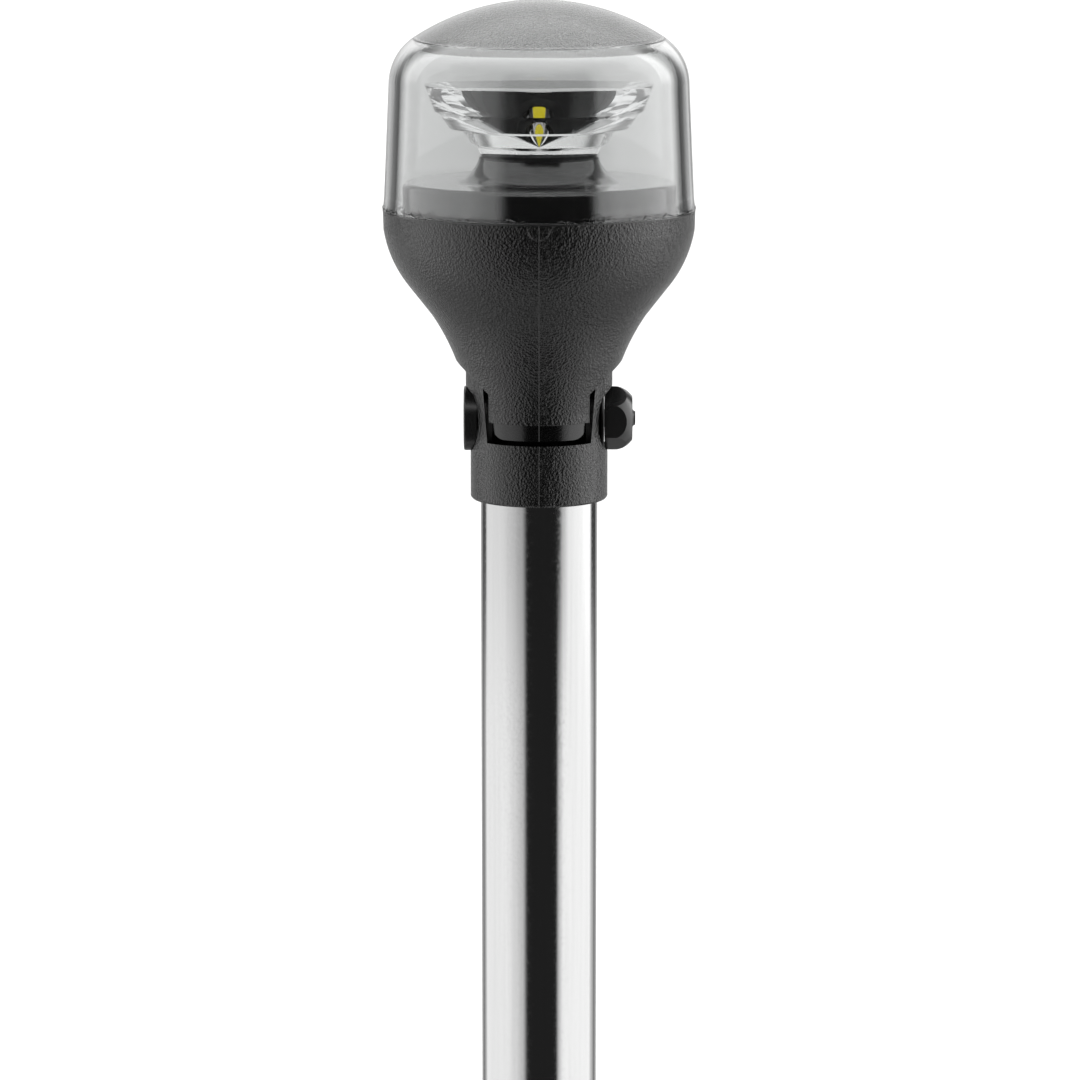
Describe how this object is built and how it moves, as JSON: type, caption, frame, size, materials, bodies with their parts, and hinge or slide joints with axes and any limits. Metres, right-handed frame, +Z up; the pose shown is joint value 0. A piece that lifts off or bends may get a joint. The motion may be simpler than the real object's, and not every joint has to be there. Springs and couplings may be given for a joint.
{
  "type": "navigation light",
  "caption": "All-round boat navigation light: clear globe over a stepped optic, on a head that tilts in a clevis on a plug-in tube pole.",
  "frame": {"origin": "centre of the pole's bottom end", "axes": "+Z up the pole towards the globe; +X towards the clamping knob, along the tilt axis; -Y is the front"},
  "size_m": [0.0672, 0.0672, 0.3048],
  "materials": {
    "clear_globe": "clear, frosted crown",
    "black_rubber": "matte",
    "clear_optic": "clear",
    "black_deck": "smooth satin",
    "steel": "satin",
    "heat_sink_aluminium": "turned",
    "circuit_board": "black solder mask",
    "led_carrier": "satin",
    "led_phosphor": "smooth",
    "black_grained_plastic": "coarse grain",
    "bushing_plastic": "smooth",
    "ferrite": "matte",
    "capacitor_can": "satin",
    "chip_plastic": "matte",
    "pole_aluminium": "bright anodised",
    "black_smooth_plastic": "smooth satin",
    "washer_nylon": "matte",
    "brass": "machined",
    "plug_plastic": "matte",
    "rivet_aluminium": "satin",
    "lead_insulation": "satin"
  },
  "bodies": {
    "pole": {"pole_tube": "pole_aluminium", "pole_collar": "black_grained_plastic", "collar_screw": "steel", "hinge_bolt": "steel", "bolt_cap": "black_smooth_plastic", "friction_washers": "washer_nylon", "knob_washer": "steel", "pole_plug": "plug_plastic", "contact_pins": "brass", "plug_rivets": "rivet_aluminium", "pole_leads": "lead_insulation"},
    "head": {"head_housing": "black_grained_plastic", "globe": "clear_globe", "globe_seal": "black_rubber", "inner_deck": "black_deck", "deck_screws": "steel", "screw_plugs": "black_deck", "optic": "clear_optic", "heat_sink": "heat_sink_aluminium", "led_board": "circuit_board", "led_package": "led_carrier", "led_emitter": "led_phosphor", "led_leads": "lead_insulation", "driver_board": "circuit_board", "driver_screws": "steel", "driver_inductor": "ferrite", "driver_capacitors": "capacitor_can", "driver_chips": "chip_plastic", "hinge_bushings": "bushing_plastic", "lead_grommet": "black_rubber", "head_leads": "lead_insulation", "hinge_leads": "lead_insulation"},
    "knob": {"knob": "black_smooth_plastic", "knob_insert": "brass"}
  },
  "joints": [
    {"name": "head_tilt", "type": "hinge", "parent": "pole", "child": "head", "pos_m": [0, 0, 0.2147], "axis": [1, 0, 0], "range_deg": [-15, 15], "deforming": ["hinge_leads"]},
    {"name": "knob_turn", "type": "hinge", "parent": "pole", "child": "knob", "pos_m": [0.0172, 0, 0.2147], "axis": [1, 0, 0], "range_deg": [0, 360]}
  ]
}
